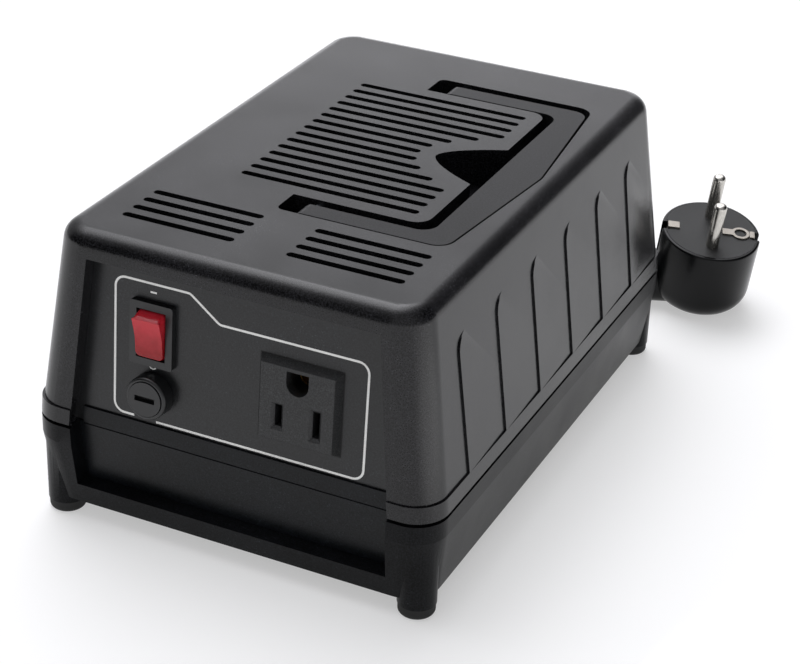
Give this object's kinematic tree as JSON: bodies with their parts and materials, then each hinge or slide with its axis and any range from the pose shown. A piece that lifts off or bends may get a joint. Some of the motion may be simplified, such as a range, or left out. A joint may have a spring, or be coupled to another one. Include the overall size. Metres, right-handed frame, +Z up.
{
  "type": "travel voltage converter",
  "caption": "Tabletop step-down voltage converter: vented moulded case with fold-flat handle, rocker switch, fuse holder and three-hole outlet, and a mains lead with an angled plug.",
  "frame": {"origin": "on the floor under the middle of the case, the mains lead not counted", "axes": "+X to the right seen from the front, +Y to the back, +Z up; the panel with the outlet faces -Y"},
  "size_m": [0.1731, 0.3136, 0.102],
  "materials": {
    "black_abs": "satin black ABS, fine grained",
    "panel_abs": "matte black ABS",
    "rubber": "matte black rubber",
    "steel": "bright zinc-plated steel",
    "switch_black": "black nylon",
    "rocker_red": "translucent red polycarbonate",
    "lamp_glass": "neon lamp glass",
    "brass": "brass strip",
    "fuse_glass": "clear glass",
    "nickel": "nickel-plated brass",
    "silicon_steel": "varnished silicon steel sheet",
    "bobbin_nylon": "natural nylon",
    "copper": "enamelled copper wire",
    "tape": "yellow polyester tape",
    "black_bakelite": "black phenolic",
    "wire_pvc_brown": "brown PVC",
    "wire_pvc_black": "black PVC",
    "wire_pvc_blue": "blue PVC",
    "wire_pvc_green": "green PVC",
    "wire_pvc_white": "white PVC",
    "cord_pvc": "black PVC",
    "tie_fabric": "black hook-and-loop strap"
  },
  "bodies": {
    "converter": {"upper_cover": "black_abs", "lower_case": "black_abs", "front_panel": "panel_abs", "rear_panel": "panel_abs", "lower_front_plate": "panel_abs", "lower_rear_plate": "panel_abs", "foot_front_left": "rubber", "foot_front_right": "rubber", "foot_rear_left": "rubber", "foot_rear_right": "rubber", "case_screws": "steel", "handle_pins": "steel", "core_bracket": "steel", "bracket_screws": "steel", "switch_housing": "switch_black", "outlet_body": "switch_black", "fuse_holder": "switch_black", "fuse_nut": "switch_black", "switch_lamp": "lamp_glass", "switch_terminals": "brass", "hot_contact": "brass", "neutral_contact": "brass", "earth_contact": "brass", "fuse_terminals": "brass", "plug_pins": "nickel", "plug_earth_clips": "nickel", "plug_earth_socket": "nickel", "core_e_laminations": "silicon_steel", "core_i_laminations": "silicon_steel", "bobbin": "bobbin_nylon", "winding": "copper", "insulation_tape": "tape", "thermal_cutout": "black_bakelite", "wire_live": "wire_pvc_brown", "wire_fuse_to_switch": "wire_pvc_black", "wire_switch_to_winding": "wire_pvc_black", "wire_outlet_hot": "wire_pvc_black", "wire_neutral": "wire_pvc_blue", "wire_earth": "wire_pvc_green", "wire_outlet_neutral": "wire_pvc_white", "cord_gland": "cord_pvc", "cord_from_gland": "cord_pvc", "cord_coil": "cord_pvc", "cord_to_plug": "cord_pvc", "plug_body": "cord_pvc", "cord_tie": "tie_fabric"},
    "handle": {"carry_handle": "black_abs"},
    "rocker": {"switch_rocker": "rocker_red"},
    "fuse": {"fuse_glass": "fuse_glass", "fuse_ends": "nickel"},
    "cap": {"fuse_cap": "switch_black"}
  },
  "joints": [
    {"name": "handle_fold", "type": "hinge", "parent": "converter", "child": "handle", "pos_m": [0.0003, 0.008, 0.0988], "axis": [0, -1, 0], "range_deg": [0, 90]},
    {"name": "switch_rock", "type": "hinge", "parent": "converter", "child": "rocker", "pos_m": [-0.0283, -0.0939, 0.07211], "axis": [-1, 0, 0], "range_deg": [0, 22]},
    {"name": "fuse_slide", "type": "slide", "parent": "converter", "child": "fuse", "axis": [0, -0.9975, 0.0709], "range_m": [0, 0.036]},
    {"name": "cap_turn", "type": "hinge", "parent": "fuse", "child": "cap", "pos_m": [-0.0282, -0.09535, 0.05176], "axis": [0, -0.9975, 0.0709], "range_deg": [0, 90]}
  ]
}
